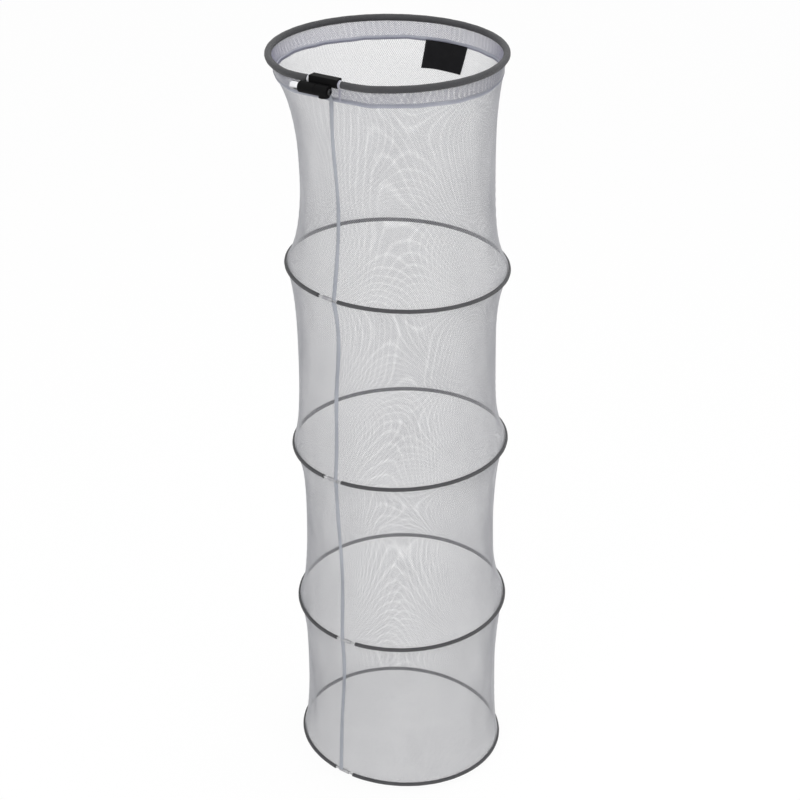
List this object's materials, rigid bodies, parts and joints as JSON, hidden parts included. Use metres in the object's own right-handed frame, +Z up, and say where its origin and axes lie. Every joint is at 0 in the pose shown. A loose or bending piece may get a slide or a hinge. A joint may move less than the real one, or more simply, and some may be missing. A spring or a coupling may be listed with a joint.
{
  "type": "keep net",
  "caption": "Long fish keep net of fine mesh on round hoops, open at a padded mouth ring, with a push-button tilting head that screws onto a bank stick and a netted base.",
  "frame": {"origin": "centre of the threaded boss's lower face under the head, where the bank stick's end goes in", "axes": "+Z up, along the bank stick and out of it; +Y from the head towards the middle of the mouth; +X along the tilt hinge, away from the push button"},
  "size_m": [0.4308, 0.426, 1.4346],
  "materials": {
    "black_nylon": "satin black moulding",
    "brass": "plain turned brass",
    "black_steel": "blackened screws",
    "steel": "plain steel",
    "chrome": "polished",
    "alloy": "plain drawn alloy",
    "cover": "braided dark grey sleeve",
    "hem": "folded pale grey mesh",
    "net": "fine pale grey knotless mesh, see-through",
    "base": "pale grey mesh",
    "seam": "blue-grey stitched tape",
    "label": "plain black woven tab"
  },
  "bodies": {
    "stick_knuckle": {"knuckle": "black_nylon", "thread_insert": "brass"},
    "mouth": {"head_block": "black_nylon", "pivot_bolt": "black_steel", "button_spring": "steel", "ring_screw_left": "black_steel", "ring_screw_right": "black_steel", "mouth_ring_tube": "alloy", "mouth_ring_cover": "cover", "seam_wrap": "hem", "hem_band": "hem", "label_tab": "label", "net_panel_1": "net", "seam_1": "seam"},
    "button": {"release_button": "chrome", "lock_gear": "steel"},
    "hoop_2": {"ring_2_wire": "steel", "ring_2_cover": "cover", "ring_2_ferrule": "chrome", "net_panel_2": "net", "seam_2": "seam"},
    "hoop_3": {"ring_3_wire": "steel", "ring_3_cover": "cover", "ring_3_ferrule": "chrome", "net_panel_3": "net", "seam_3": "seam"},
    "hoop_4": {"ring_4_wire": "steel", "ring_4_cover": "cover", "ring_4_ferrule": "chrome", "net_panel_4": "net", "seam_4": "seam"},
    "hoop_5": {"ring_5_wire": "steel", "ring_5_cover": "cover", "ring_5_ferrule": "chrome", "base_net": "base"}
  },
  "joints": [
    {"name": "net_tilt", "type": "hinge", "parent": "stick_knuckle", "child": "mouth", "pos_m": [-0.008, 0, 0.0108], "axis": [1, 0, 0], "range_deg": [0, 90]},
    {"name": "button_push", "type": "slide", "parent": "mouth", "child": "button", "axis": [1, 0, 0], "range_m": [0, 0.0038], "stiffness_N_per_m": 1800, "springref_m": -0.0044, "deforming": ["button_spring"]},
    {"name": "hoop_2_slide", "type": "slide", "parent": "mouth", "child": "hoop_2", "axis": [0, 0, 1], "range_m": [0, 0.334], "deforming": ["net_panel_1", "seam_1", "label_tab"]},
    {"name": "hoop_3_slide", "type": "slide", "parent": "hoop_2", "child": "hoop_3", "axis": [0, 0, 1], "range_m": [0, 0.324], "deforming": ["net_panel_2", "seam_2"]},
    {"name": "hoop_4_slide", "type": "slide", "parent": "hoop_3", "child": "hoop_4", "axis": [0, 0, 1], "range_m": [0, 0.313], "deforming": ["net_panel_3", "seam_3"]},
    {"name": "hoop_5_slide", "type": "slide", "parent": "hoop_4", "child": "hoop_5", "axis": [0, 0, 1], "range_m": [0, 0.297], "deforming": ["net_panel_4", "seam_4"]}
  ]
}
